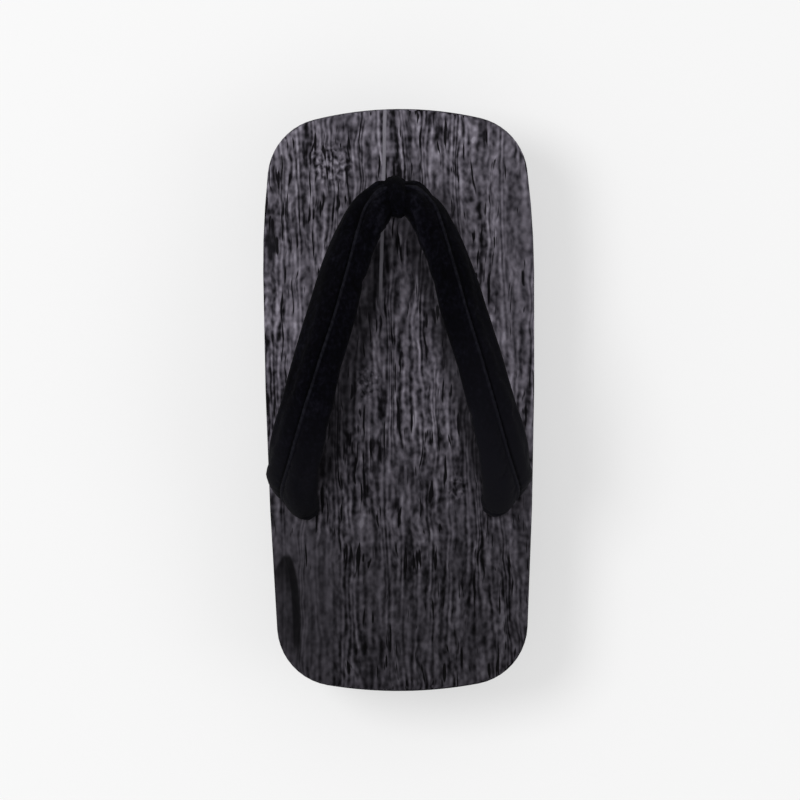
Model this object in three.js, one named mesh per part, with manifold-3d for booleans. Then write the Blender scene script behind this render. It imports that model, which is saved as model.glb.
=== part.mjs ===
// A men's geta: a burnt, brushed wooden board that stands on two teeth cut from the same block, and a
// padded velvet thong. The thong's two bands are one piece. A toe loop gathers them at the front hole,
// each band ends on a rear hole, and knots under the board hold all three.
// Millimetres. +X is the right side, +Y the toe, +Z up. The origin is on the floor under the middle.

import * as THREE from "three";
import { mergeVertices } from "three/addons/utils/BufferGeometryUtils.js";
import Module from "manifold-3d";

const wasm = await Module();
wasm.setup();

// Block: the board and its two teeth.
const LENGTH = 250;
const HALF_WIDTH = 58.2; // at the widest point
const WIDEST_Y = 55;
const HEIGHT = 50; // floor to the top face
const BOARD = 18; // board thickness between the teeth
const TOE_EDGE = 11; // board thickness at the toe, where the underside rises
const HEEL_EDGE = 14;
const TOP_ROUND = 1.6; // worn round of the top edge
const TOE = LENGTH / 2;
const HEEL = -LENGTH / 2;
const UNDERSIDE = HEIGHT - BOARD;

// The plan outline is made of tangent arcs: a flat arc across each end, a tight corner and a long side.
const ENDS = {
  toe: { endRadius: 153, cornerRadius: 26.3, sideRadius: 377 },
  heel: { endRadius: 186, cornerRadius: 26, sideRadius: 2650 },
};
const ARC_STEPS = { end: 8, corner: 10, side: 3 };

// Teeth, each from its front face to its rear face, slightly thicker at the root.
const TEETH = {
  front: { front: 56, rear: 33 },
  rear: { front: -54, rear: -77 },
};
const TOOTH_DRAFT = 1.2;
const ROOT_ROUND = 4;
const FOOT_ROUND = 1.2;

// Holes through the board.
const FRONT_HOLE = { x: 0, y: 85, radius: 5.2 };
const REAR_HOLE = { x: 45.4, y: -39, radius: 4.5 };

const GAP = 0.3; // between pieces that touch

// The right band, from the middle of the front to the rear hole. x, y and up give its centre line, up
// being the height over the board. The face looks up where lean is 0 and sideways where it is 90, and
// bearing turns that way from +X towards +Y. seam places the raised seam across the face, from -1 at
// the inner edge to 1 at the outer one.
const BAND_ROWS = [
  { x: 0, y: 86.5, up: 19, width: 17.6, thick: 10, lean: 34, bearing: 90, seam: 0.4 },
  { x: 10.1, y: 81.4, up: 21.5, width: 18.4, thick: 9.8, lean: 36, bearing: 62, seam: 0.35 },
  { x: 16.9, y: 71.4, up: 25.5, width: 19.2, thick: 9.6, lean: 34, bearing: 38, seam: 0 },
  { x: 22.8, y: 56, up: 31.5, width: 20.5, thick: 9.2, lean: 30, bearing: 20, seam: -0.15 },
  { x: 28.4, y: 36, up: 36.5, width: 22.4, thick: 9, lean: 29, bearing: 12, seam: -0.15 },
  { x: 34.7, y: 15, up: 38.5, width: 22.4, thick: 9, lean: 29, bearing: 6, seam: -0.17 },
  { x: 39.8, y: -5, up: 36.5, width: 24, thick: 9, lean: 30, bearing: 0, seam: -0.12 },
  { x: 43.9, y: -22, up: 28.5, width: 26.5, thick: 10, lean: 38, bearing: -18, seam: -0.1 },
  { x: 45.4, y: -34.4, up: 14, width: 27.4, thick: 13, lean: 62, bearing: -32, seam: -0.03 },
  { x: 44.6, y: -38.5, up: 1, width: 27, thick: 14.4, lean: 86, bearing: -38, seam: -0.08 },
  { x: 44.6, y: -38.8, up: -5, width: 26, thick: 13.8, lean: 90, bearing: -39, seam: -0.1 },
];
const BAND_STEPS = 5; // sections between two rows
const BAND_SHAPE = 2.4; // 2 is an ellipse, and more is squarer
const SEAM = { halfWidth: 0.7, rise: 0.55, furrow: 0.35, furrowHalf: 2.2 };

// The toe loop: a soft strip round the gathered front of the bands. Its two ends go side by side into
// the front hole and join there in a post.
const LOOP = { halfWidth: 5.1, halfThick: 1.7, shape: 2.8, sink: 1.6, strand: 1.4, neck: 0.82 };
const LOOP_STEPS = 44;
const POST = { halfX: 4.3, halfY: 3.4, root: 6 };

// Each knot is one cord tied over itself, with a stem up its hole and two short tails.
const KNOT = { radius: 4.2, cord: 1.65, turns: 2, lobes: 3, tail: 9, droop: 0.3 };

const X_AXIS = new THREE.Vector3(1, 0, 0);
const Y_AXIS = new THREE.Vector3(0, 1, 0);
const Z_AXIS = new THREE.Vector3(0, 0, 1);

// A closed geometry as a solid that can be joined and cut.
function solid(geometry) {
  const bare = geometry.index ? geometry.toNonIndexed() : geometry.clone();
  bare.deleteAttribute("normal");
  bare.deleteAttribute("uv");
  const merged = mergeVertices(bare, 1e-3);
  return new wasm.Manifold(
    new wasm.Mesh({
      numProp: 3,
      vertProperties: merged.attributes.position.array,
      triVerts: new Uint32Array(merged.index.array),
    }),
  );
}

function geometryOf(shape) {
  const { vertProperties, triVerts } = shape.getMesh();
  const geometry = new THREE.BufferGeometry();
  geometry.setAttribute("position", new THREE.BufferAttribute(vertProperties, 3));
  geometry.setIndex(new THREE.BufferAttribute(triVerts, 1));
  const faceted = geometry.toNonIndexed();
  faceted.computeVertexNormals();
  return faceted;
}

// A skin through rings of equally many points. An open one gets a flat cap on each end.
function loft(rings, closed = false) {
  const size = rings[0].length;
  const points = rings.flat();
  const faces = [];
  const bays = closed ? rings.length : rings.length - 1;
  for (let i = 0; i < bays; i++) {
    const here = i * size;
    const next = ((i + 1) % rings.length) * size;
    for (let k = 0; k < size; k++) {
      const l = (k + 1) % size;
      faces.push(here + k, here + l, next + l, here + k, next + l, next + k);
    }
  }
  if (!closed) {
    const last = (rings.length - 1) * size;
    for (const [start, flip] of [[0, true], [last, false]]) {
      const centre = new THREE.Vector3();
      for (let k = 0; k < size; k++) centre.addScaledVector(points[start + k], 1 / size);
      const hub = points.push(centre) - 1;
      for (let k = 0; k < size; k++) {
        const a = start + k;
        const b = start + ((k + 1) % size);
        faces.push(hub, flip ? b : a, flip ? a : b);
      }
    }
  }
  const geometry = new THREE.BufferGeometry().setFromPoints(points);
  geometry.setIndex(faces);
  return geometry;
}

function cylinder(radiusX, radiusY, low, high, x, y) {
  const geometry = new THREE.CylinderGeometry(1, 1, high - low, 24);
  geometry.rotateX(Math.PI / 2);
  geometry.scale(radiusX, radiusY, 1);
  geometry.translate(x, y, (low + high) / 2);
  return geometry;
}

// Where an arc of the given radius touches both circles from inside, on the side of larger x.
function cornerCentre(end, side, radius, towardsToe) {
  const endReach = end.radius - radius;
  const sideReach = side.radius - radius;
  const between = new THREE.Vector2().subVectors(side.centre, end.centre);
  const apart = between.length();
  const along = (endReach ** 2 - sideReach ** 2 + apart ** 2) / (2 * apart);
  const across = Math.sqrt(endReach ** 2 - along ** 2);
  between.divideScalar(apart);
  const normal = new THREE.Vector2(between.y, -between.x).multiplyScalar(towardsToe ? 1 : -1);
  return end.centre.clone().addScaledVector(between, along).addScaledVector(normal, across);
}

// The right half of one end, from the widest point to the middle of the end.
function halfEnd({ endRadius, cornerRadius, sideRadius }, endY) {
  const towardsToe = endY > 0;
  const end = { centre: new THREE.Vector2(0, endY - Math.sign(endY) * endRadius), radius: endRadius };
  const side = { centre: new THREE.Vector2(HALF_WIDTH - sideRadius, WIDEST_Y), radius: sideRadius };
  const corner = { centre: cornerCentre(end, side, cornerRadius, towardsToe), radius: cornerRadius };
  const sideTurn = new THREE.Vector2().subVectors(corner.centre, side.centre).angle();
  const endTurn = new THREE.Vector2().subVectors(corner.centre, end.centre).angle();
  const quarter = towardsToe ? Math.PI / 2 : -Math.PI / 2;
  const signed = (angle) => (angle > Math.PI ? angle - 2 * Math.PI : angle);
  const arcs = [
    { ...side, from: 0, to: signed(sideTurn), steps: ARC_STEPS.side },
    { ...corner, from: signed(sideTurn), to: signed(endTurn), steps: ARC_STEPS.corner },
    { ...end, from: signed(endTurn), to: quarter, steps: ARC_STEPS.end },
  ];
  const points = [];
  for (const { centre, radius, from, to, steps } of arcs)
    for (let i = 0; i < steps; i++) {
      const angle = from + ((to - from) * i) / steps;
      points.push(new THREE.Vector2(Math.cos(angle), Math.sin(angle)).multiplyScalar(radius).add(centre));
    }
  return points;
}

// The board seen from above, counterclockwise from the widest point on the right.
function planOutline() {
  const toe = halfEnd(ENDS.toe, TOE);
  const heel = halfEnd(ENDS.heel, HEEL);
  const mirror = (points) => points.map((p) => new THREE.Vector2(-p.x, p.y));
  return new THREE.Shape([
    ...toe,
    new THREE.Vector2(0, TOE),
    ...mirror(toe).reverse(),
    ...mirror(heel).slice(1),
    new THREE.Vector2(0, HEEL),
    ...heel.slice(1).reverse(),
  ]);
}

// The block seen from the side, y along and z up, each corner with its own round.
function sideProfile() {
  const tooth = ({ front, rear }) => [
    { y: front + TOOTH_DRAFT, z: UNDERSIDE, round: ROOT_ROUND },
    { y: front, z: 0, round: FOOT_ROUND },
    { y: rear, z: 0, round: FOOT_ROUND },
    { y: rear - TOOTH_DRAFT, z: UNDERSIDE, round: ROOT_ROUND },
  ];
  const over = 5; // past the block, so that the outline alone shapes its ends and top
  const rows = [
    { y: TOE + over, z: HEIGHT + over, round: 0 },
    { y: TOE + over, z: HEIGHT - TOE_EDGE, round: 0 },
    ...tooth(TEETH.front),
    ...tooth(TEETH.rear),
    { y: HEEL - over, z: HEIGHT - HEEL_EDGE, round: 0 },
    { y: HEEL - over, z: HEIGHT + over, round: 0 },
  ];
  const shape = new THREE.Shape();
  rows.forEach((row, i) => {
    const corner = new THREE.Vector2(row.y, row.z);
    const before = rows[(i + rows.length - 1) % rows.length];
    const after = rows[(i + 1) % rows.length];
    const towards = ({ y, z }) =>
      new THREE.Vector2(y, z).sub(corner).setLength(row.round).add(corner);
    const start = towards(before);
    if (i === 0) shape.moveTo(start.x, start.y);
    else shape.lineTo(start.x, start.y);
    if (row.round === 0) return;
    const finish = towards(after);
    shape.quadraticCurveTo(corner.x, corner.y, finish.x, finish.y);
  });
  return shape;
}

// The board and teeth: the plan outline, cut to the side profile, with its three holes.
function block() {
  const plan = new THREE.ExtrudeGeometry(planOutline(), {
    depth: HEIGHT - 2 * TOP_ROUND,
    bevelThickness: TOP_ROUND,
    bevelSize: TOP_ROUND,
    bevelOffset: -TOP_ROUND,
    bevelSegments: 3,
  });
  plan.translate(0, 0, TOP_ROUND);
  const reach = 2 * HALF_WIDTH + 10;
  const side = new THREE.ExtrudeGeometry(sideProfile(), {
    depth: reach,
    bevelEnabled: false,
    curveSegments: 4,
  });
  side.applyMatrix4(new THREE.Matrix4().makeBasis(Y_AXIS, Z_AXIS, X_AXIS));
  side.translate(-reach / 2, 0, 0);
  const holes = [FRONT_HOLE, REAR_HOLE, { ...REAR_HOLE, x: -REAR_HOLE.x }];
  return holes.reduce(
    (made, { x, y, radius }) => made.subtract(solid(cylinder(radius, radius, 0, HEIGHT + 5, x, y))),
    solid(plan).intersect(solid(side)),
  );
}

// Smooth curves through the band's rows, the left band's mirrored rows first.
function bandCurves() {
  const left = BAND_ROWS.slice(1).reverse().map((row) => ({ ...row, side: -1 }));
  const rows = [...left, ...BAND_ROWS.map((row) => ({ ...row, side: 1 }))];
  const curve = (place) => new THREE.CatmullRomCurve3(rows.map(place), false, "catmullrom", 0.5);
  return {
    rows,
    centre: curve(({ x, y, up, side }) => new THREE.Vector3(side * x, y, HEIGHT + up)),
    size: curve(({ width, thick, seam }) => new THREE.Vector3(width / 2, thick / 2, seam)),
    face: curve(({ lean, bearing, side }) => {
      const tip = THREE.MathUtils.degToRad(lean);
      const turn = THREE.MathUtils.degToRad(bearing);
      const flat = Math.sin(tip);
      return new THREE.Vector3(side * flat * Math.cos(turn), flat * Math.sin(turn), Math.cos(tip));
    }),
  };
}

// How far the face stands off the middle of a padded section at a place across it.
const crown = (across, halfWidth, halfThick) =>
  halfThick * (1 - Math.min(1, Math.abs(across / halfWidth)) ** BAND_SHAPE) ** (1 / BAND_SHAPE);

// One section of the band as { across, off } pairs: its face from the outer edge to the inner one, with
// the seam standing in a soft furrow, and its back.
function bandSection(halfWidth, halfThick, seam) {
  const seamAt = seam * halfWidth;
  const nearSeam = [SEAM.furrowHalf, SEAM.halfWidth, 0, -SEAM.halfWidth, -SEAM.furrowHalf];
  const spread = (from, to, count) =>
    Array.from({ length: count }, (_, i) => from + (to - from) * Math.sin(((i + 1) / (count + 1)) * (Math.PI / 2)));
  const outer = spread(seamAt + SEAM.furrowHalf, halfWidth, 5).reverse();
  const inner = spread(seamAt - SEAM.furrowHalf, -halfWidth, 5);
  const lift = (from) => {
    const away = Math.abs(from);
    if (away < 1e-6) return SEAM.rise;
    return away > SEAM.halfWidth ? 0 : -SEAM.furrow;
  };
  const face = [
    ...outer.map((across) => ({ across, off: crown(across, halfWidth, halfThick) })),
    ...nearSeam.map((from) => ({
      across: seamAt + from,
      off: crown(seamAt + from, halfWidth, halfThick) + lift(from),
    })),
    ...inner.map((across) => ({ across, off: crown(across, halfWidth, halfThick) })),
  ];
  const back = Array.from({ length: 9 }, (_, i) => {
    const across = -halfWidth * Math.cos(((i + 1) / 10) * Math.PI);
    return { across, off: -crown(across, halfWidth, halfThick) };
  });
  return [{ across: halfWidth, off: 0 }, ...face, { across: -halfWidth, off: 0 }, ...back];
}

// Both bands as one padded piece, trimmed level where they meet the board.
function bands(loopRoom) {
  const { rows, centre, size, face } = bandCurves();
  const count = (rows.length - 1) * BAND_STEPS;
  const rings = Array.from({ length: count + 1 }, (_, i) => {
    const t = i / count;
    const along = centre.getTangent(t);
    const off = face.getPoint(t);
    off.addScaledVector(along, -off.dot(along)).normalize();
    const across = new THREE.Vector3().crossVectors(off, along);
    if (across.dot(new THREE.Vector3(Math.sign(t - 0.5), 1e-3, 0)) < 0) across.negate();
    const { x: halfWidth, y: halfThick, z: seam } = size.getPoint(t);
    return bandSection(halfWidth, halfThick, seam).map((point) =>
      centre.getPoint(t).addScaledVector(across, point.across).addScaledVector(off, point.off),
    );
  });
  const ground = new THREE.BoxGeometry(4 * HALF_WIDTH, 2 * LENGTH, HEIGHT);
  ground.translate(0, 0, HEIGHT / 2 + GAP);
  return solid(loft(rings)).subtract(solid(ground)).subtract(loopRoom);
}

// The toe loop's path, seen from the side: out of the hole, round the gathered bands and back.
function loopPath() {
  const front = BAND_ROWS[0];
  const lean = THREE.MathUtils.degToRad(front.lean);
  const middle = new THREE.Vector3(0, front.y, HEIGHT + front.up);
  const off = new THREE.Vector3(0, Math.sin(lean), Math.cos(lean));
  const across = new THREE.Vector3(0, Math.cos(lean), -Math.sin(lean));
  const stand = LOOP.halfThick - LOOP.sink;
  const halfAcross = front.width / 2 + stand;
  const halfOff = front.thick / 2 + stand;
  const turns = [-120, -90, -60, -30, 0, 30, 60, 90, 120];
  const round = turns.map((degrees) => {
    const angle = THREE.MathUtils.degToRad(degrees);
    const ray = new THREE.Vector3(0, Math.sin(angle), Math.cos(angle));
    const length = 1 / Math.hypot(ray.dot(across) / halfAcross, ray.dot(off) / halfOff);
    return ray.multiplyScalar(length).add(middle);
  });
  const strand = (side, ups) =>
    ups.map((up) => new THREE.Vector3(0, FRONT_HOLE.y + side * LOOP.strand, HEIGHT + up));
  const points = [...strand(-1, [-4, 0, 4]), ...round, ...strand(1, [4, 0, -4])];
  return new THREE.CatmullRomCurve3(points, false, "centripetal");
}

// The loop's strip, narrower where it enters the hole, and made larger all round by room.
function loopStrip(room) {
  const path = loopPath();
  const rings = Array.from({ length: LOOP_STEPS + 1 }, (_, i) => {
    const centre = path.getPointAt(i / LOOP_STEPS);
    const out = new THREE.Vector3().crossVectors(path.getTangentAt(i / LOOP_STEPS), X_AXIS);
    const neck = LOOP.neck + (1 - LOOP.neck) * THREE.MathUtils.smoothstep(centre.z - HEIGHT, 0, 6);
    return Array.from({ length: 14 }, (_, k) => {
      const angle = (k / 14) * 2 * Math.PI;
      const squared = (value) => Math.sign(value) * Math.abs(value) ** (2 / LOOP.shape);
      return centre
        .clone()
        .addScaledVector(X_AXIS, (LOOP.halfWidth * neck + room) * squared(Math.cos(angle)))
        .addScaledVector(out, (LOOP.halfThick + room) * squared(Math.sin(angle)));
    });
  });
  return solid(loft(rings));
}

function toeLoop() {
  const { x, y } = FRONT_HOLE;
  const post = cylinder(POST.halfX, POST.halfY, UNDERSIDE + POST.root, HEIGHT - 1, x, y);
  return loopStrip(0).add(solid(post));
}

// The underside's height over the floor at a place along the board.
function undersideAt(y) {
  const root = TEETH.front.front + TOOTH_DRAFT;
  if (y < root) return UNDERSIDE;
  return UNDERSIDE + ((BOARD - TOE_EDGE) * (y - root)) / (TOE + 5 - root);
}

// A knot pulled up under a hole. The stem is the cord inside the hole, up to stemTop, and the tails point
// along the two bearings.
function knot({ x, y, radius }, stemTop, tailBearings) {
  const tie = new THREE.TorusKnotGeometry(KNOT.radius, KNOT.cord, 48, 6, KNOT.turns, KNOT.lobes);
  const half = KNOT.radius / 2 + KNOT.cord;
  const level = Math.min(undersideAt(y - KNOT.radius), undersideAt(y + KNOT.radius)) - GAP - half;
  tie.translate(x, y, level);
  const stem = cylinder(radius - GAP, radius - GAP, level, stemTop, x, y);
  const tail = (bearing) => {
    const geometry = new THREE.CylinderGeometry(KNOT.cord * 1.15, KNOT.cord, KNOT.tail, 8);
    geometry.rotateZ(-Math.PI / 2);
    geometry.translate(KNOT.radius + KNOT.tail / 2, 0, 0);
    geometry.rotateY(KNOT.droop);
    geometry.rotateZ(THREE.MathUtils.degToRad(bearing));
    geometry.translate(x, y, level);
    return solid(geometry);
  };
  return tailBearings.reduce((made, bearing) => made.add(tail(bearing)), solid(tie).add(solid(stem)));
}

const wood = new THREE.MeshStandardMaterial({ color: 0x3b393e, roughness: 0.6, metalness: 0 });
const velvet = new THREE.MeshStandardMaterial({ color: 0x0c0c0f, roughness: 0.95, metalness: 0 });
const cotton = new THREE.MeshStandardMaterial({ color: 0x15151a, roughness: 0.9, metalness: 0 });

const geta = new THREE.Group();
function piece(name, shape, material) {
  const mesh = new THREE.Mesh(geometryOf(shape), material);
  mesh.name = name;
  geta.add(mesh);
}

piece("board_with_teeth", block(), wood);
piece("thong_bands", bands(loopStrip(GAP)), velvet);
piece("toe_loop", toeLoop(), velvet);
piece("front_knot", knot(FRONT_HOLE, UNDERSIDE + POST.root - GAP, [35, 160]), cotton);
piece("rear_knot_right", knot(REAR_HOLE, HEIGHT, [100, 195]), cotton);
piece("rear_knot_left", knot({ ...REAR_HOLE, x: -REAR_HOLE.x }, HEIGHT, [-20, 75]), cotton);

export default geta;
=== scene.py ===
# A men's geta: a burnt and brushed wooden board on two teeth, and a padded black velvet thong.
# Metres, in the frame of the CAD model. +X is the wearer's right, +Y the toe, +Z up.

from math import atan2, cos, exp, hypot, pi, radians, sin

import bmesh
import bpy
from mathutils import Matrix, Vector, noise
from mathutils.kdtree import KDTree


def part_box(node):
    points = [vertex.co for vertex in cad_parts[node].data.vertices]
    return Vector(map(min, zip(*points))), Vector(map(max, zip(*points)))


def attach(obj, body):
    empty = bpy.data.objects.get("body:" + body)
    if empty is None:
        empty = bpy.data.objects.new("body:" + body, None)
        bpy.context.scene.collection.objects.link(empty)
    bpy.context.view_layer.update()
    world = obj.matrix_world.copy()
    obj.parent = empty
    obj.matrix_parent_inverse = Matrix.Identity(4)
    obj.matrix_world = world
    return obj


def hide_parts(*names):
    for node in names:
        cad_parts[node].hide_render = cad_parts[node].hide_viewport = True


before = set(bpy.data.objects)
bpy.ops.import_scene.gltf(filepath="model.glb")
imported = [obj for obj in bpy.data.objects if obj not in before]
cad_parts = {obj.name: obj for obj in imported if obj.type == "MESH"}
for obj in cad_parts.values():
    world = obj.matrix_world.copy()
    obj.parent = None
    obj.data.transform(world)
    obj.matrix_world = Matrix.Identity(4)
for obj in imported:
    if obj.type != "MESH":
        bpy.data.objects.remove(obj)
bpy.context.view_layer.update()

MM = 0.001
BOARD_LOW, BOARD_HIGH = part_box("board_with_teeth")
TOP = BOARD_HIGH.z
TOE = BOARD_HIGH.y
HEEL = BOARD_LOW.y
GAP = 0.3 * MM  # between pieces that touch

# The picture is square, looks straight down, and the board fills 73% of its height.
BOARD_SHARE = 0.728
CAMERA_HEIGHT = 3.2
CAMERA_SENSOR = 36.0
CAMERA_ROLL = 0.6  # degrees

# The floor glows from within, which makes it as even and as pale as the photo's background.
FLOOR_HALF = 4
FLOOR_GREY = 0.42
FLOOR_GLOW = 0.51
WORLD_LIGHT = 0.6

# The brushed relief of the top: cells fine across the grain and long along it.
CELL_ACROSS = 0.6 * MM
CELL_ALONG = 2.8 * MM
RIM = 1.2 * MM  # the relief fades out over this width at the edge
GROOVE_DEPTH = 0.32 * MM

# Small knots that the grain curls round: the middle and the half sizes across and along, in millimetres.
WOOD_KNOTS = [(-28, 102, 11, 12), (-14, 8, 7, 9), (24, -38, 6, 8)]
GRAIN_SWAY = 5 * MM
GRAIN_WOBBLE = 1.3 * MM
RING_WIDTH = 3.7 * MM  # of the growth rings on the top
YEAR_WIDTH = 2.7 * MM  # and on the end grain
PITH_DEPTH = 40 * MM  # the tree's middle lies this far under the floor

# Shades of the wood, as linear red, green and blue, from its darkest tone to its palest.
MIDDLE_TONE = 0.725
WOOD_SHADES = [
    (0.0, (0.003, 0.0027, 0.0034)),
    (0.18, (0.016, 0.0146, 0.0185)),
    (0.37, (0.046, 0.042, 0.052)),
    (0.5, (0.074, 0.068, 0.083)),
    (0.63, (0.105, 0.096, 0.117)),
    (0.82, (0.162, 0.149, 0.18)),
    (1.0, (0.235, 0.22, 0.26)),
]
SLIT_BLACK = (0.004, 0.0036, 0.0048)
SCORCHED = (0.008, 0.0075, 0.0095)
# The colour of the painted shade on the wood under and beside the bands.
BAND_SHADE_COLOUR = (0.006, 0.0055, 0.007)
PALE_WOOD = (0.2, 0.19, 0.22)

# How bright the wood is between these two places from the heel to the toe: darker towards the heel, and
# lifted by painted light in the middle, where the bands shade it.
TONE_ALONG_FROM = -105 * MM
TONE_ALONG_TO = 115 * MM
TONE_ALONG_AND_PAINTED_LIGHT = [(0.0, 0.3), (0.14, 0.34), (0.36, 0.74), (0.53, 1.3), (0.7, 1.15), (0.84, 0.92), (1.0, 1.1)]

VELVET_SHADES = [
    (0.0, (0.0004, 0.0004, 0.0007)),
    (0.4, (0.0011, 0.001, 0.002)),
    (0.6, (0.0021, 0.002, 0.0038)),
    (1.0, (0.0062, 0.0059, 0.0096)),
]
# The lighter velvet, for the painted light on the right band and for the paler rear ends.
PALER_VELVET = (0.0055, 0.0053, 0.0076)
# Painted shade for the furrow on the seam's outer side, and the seam's ridge, lighter partly for its pile and
# partly as a painted highlight.
SEAM_SHADE = (0.0005, 0.0005, 0.0006)
SEAM_RIDGE_PILE_AND_HIGHLIGHT = (0.0098, 0.0097, 0.0138)
COTTON_SHADES = [(0.0, (0.004, 0.004, 0.005)), (1.0, (0.022, 0.022, 0.026))]
STRAND_TURN = 0.8 * MM
STRAND_LAY = 1.1 * MM

FRONT_HOLE = Vector((0, 85 * MM, TOP))
REAR_HOLE = Vector((45.4 * MM, -39 * MM, TOP))

# The right band, from the middle of the front to the rear hole, in millimetres and degrees. up is the
# height of its centre line over the board. The face looks up where lean is 0 and sideways where it is
# 90, bearing turns that way from +X towards +Y, and seam places the seam from the inner edge, -1, to
# the outer one, 1.
BAND_ROWS = [
    dict(x=0, y=86.5, up=19, width=17.6, thick=10, lean=34, bearing=90, seam=0.4),
    dict(x=10.1, y=81.4, up=21.5, width=18.4, thick=9.8, lean=36, bearing=62, seam=0.35),
    dict(x=16.9, y=71.4, up=25.5, width=19.2, thick=9.6, lean=34, bearing=38, seam=0),
    dict(x=22.8, y=56, up=31.5, width=20.5, thick=9.2, lean=30, bearing=20, seam=-0.15),
    dict(x=28.4, y=36, up=36.5, width=22.4, thick=9, lean=29, bearing=12, seam=-0.15),
    dict(x=34.7, y=15, up=38.5, width=22.4, thick=9, lean=29, bearing=6, seam=-0.17),
    dict(x=39.8, y=-5, up=36.5, width=24, thick=9, lean=30, bearing=0, seam=-0.12),
    dict(x=43.9, y=-22, up=28.5, width=26.5, thick=10, lean=38, bearing=-18, seam=-0.1),
    dict(x=45.4, y=-34.4, up=14, width=27.4, thick=13, lean=62, bearing=-32, seam=-0.03),
    dict(x=44.6, y=-38.5, up=1, width=27, thick=14.4, lean=86, bearing=-38, seam=-0.08),
    dict(x=44.6, y=-38.8, up=-5, width=26, thick=13.8, lean=90, bearing=-39, seam=-0.1),
]
LEFT_SEAM_DRIFT = 0.3  # the left seam runs this much further in at the toe, as a share of half the width
LEFT_WIDER = 2.5  # each band is wider at its outer edge than its rows say, in millimetres
RIGHT_WIDER = 0.7
BAND_STATIONS = 260
BAND_SHAPE = 2.4  # the power of the section's curve: 2 is an oval, and more is squarer
SIDE_POINTS = 9  # points on a ring between the seam and each edge
BACK_POINTS = 15
NEAR_SEAM = [-3.4, -2.4, -1.5, -0.95, -0.55, -0.25, 0, 0.25, 0.55, 0.95, 1.5, 2.4, 3.4]  # millimetres

# The raised seam, between two furrows that the stitches pull in.
SEAM_HALF = 0.75 * MM
SEAM_RISE = 0.5 * MM
SEAM_CREST = 0.15 * MM  # half the width of its flat top
SEAM_FOOT = 1.05 * MM
SEAM_LIFT = 0.4  # the ridge keeps this share of the depth that the furrows take from it
FURROW = 0.4 * MM
FURROW_HALF = 2.4 * MM

# The stuffing.
SLACK = 0.35 * MM  # the band starts this much slimmer, and the stuffing swells it
MOST_SWELL = 1.1 * MM
SIM_SCALE = 20  # cloth is simulated at this size, where its springs behave
SIM_FRAMES = 20
CLOTH = {
    "quality": 6,
    "mass": 0.4,
    "tension_stiffness": 12,
    "compression_stiffness": 12,
    "shear_stiffness": 6,
    "bending_stiffness": 0.4,
    "use_pressure": True,
    "uniform_pressure_force": 3.0,
    "shrink_min": -0.03,
    "vertex_group_mass": "held",
}

# How far the velvet rises in its folds, creases, lumps and puckers, in millimetres.
PINCH_FOLD = 0.8
PINCH_DIP = 1.3
FOLDS = 0.9
CREASES = 0.35
LUMPS = 0.22
PUCKERS = 0.07
PUCKER_STEP = 4.2 * MM
FOOT_TUCK = 1.8 * MM  # how far a band's foot turns in at the board

LOOP_HALF_WIDTH = 5.1 * MM
LOOP_HALF_THICK = 1.7 * MM
LOOP_SINK = 2.2 * MM  # how far it presses into the bands
LOOP_STRAND = 1.4 * MM  # half the distance between its two ends in the hole
LOOP_ENDS = (-11.5, -8, -4, 0, 4)  # heights over the board that its ends pass, in millimetres
LOOP_STEPS = 160
LOOP_POINTS = 48
LOOP_SPACING = 0.5 * MM  # between two points of a ring, for the UV map
LOOP_NECK = 0.82  # its width in the hole, as a share of its width above
LOOP_NECK_HEIGHT = 6 * MM
LOOP_DRAWN_IN = 0.2  # it is this much narrower on top, where the bands press it together
LOOP_LEAN = 1.2 * MM  # and sits a little to the left at the front
LOOP_BOW = 1.9 * MM  # its edges dip this far between the folds
LOOP_PLEATS = 0.5 * MM

FRONT_HOLE_RADIUS = 5.2 * MM
REAR_HOLE_RADIUS = 4.5 * MM
FRONT_STEM_TOP = 37.7 * MM  # the cord in the front hole ends here, under the toe loop
KNOT_RADIUS = 4.2 * MM
CORD_RADIUS = 1.65 * MM
CORD_PITCH = 6 * MM  # one turn of its strands
CORD_SPACING = 0.43 * MM
STEM_PITCH = 16 * MM
KNOT_STEPS = 120
STEM_STEPS = 24
TAIL_STEPS = 16
TAIL_LENGTH = 9.6 * MM
TAIL_CURL = 1.2 * MM
TAIL_DROOP = 0.3  # radians

# The underside is level behind the front tooth's root, and rises ahead of it.
UNDERSIDE = 32 * MM
RISE_FROM = 57.2 * MM
RISE_TO = TOE + 5 * MM
TOE_RISE = 7 * MM


def finished(bm, name, material):
    """A bmesh as a shaded object that rides on the one body."""
    mesh = bpy.data.meshes.new(name)
    bm.to_mesh(mesh)
    bm.free()
    mesh.shade_smooth()
    mesh.materials.append(material)
    piece = bpy.data.objects.new(name, mesh)
    bpy.context.scene.collection.objects.link(piece)
    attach(piece, "root")
    return piece


def ease(value, low, high):
    """0 up to low, 1 from high on, and a smooth rise between them."""
    t = min(1, max(0, (value - low) / (high - low)))
    return t * t * (3 - 2 * t)


# Materials


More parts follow.
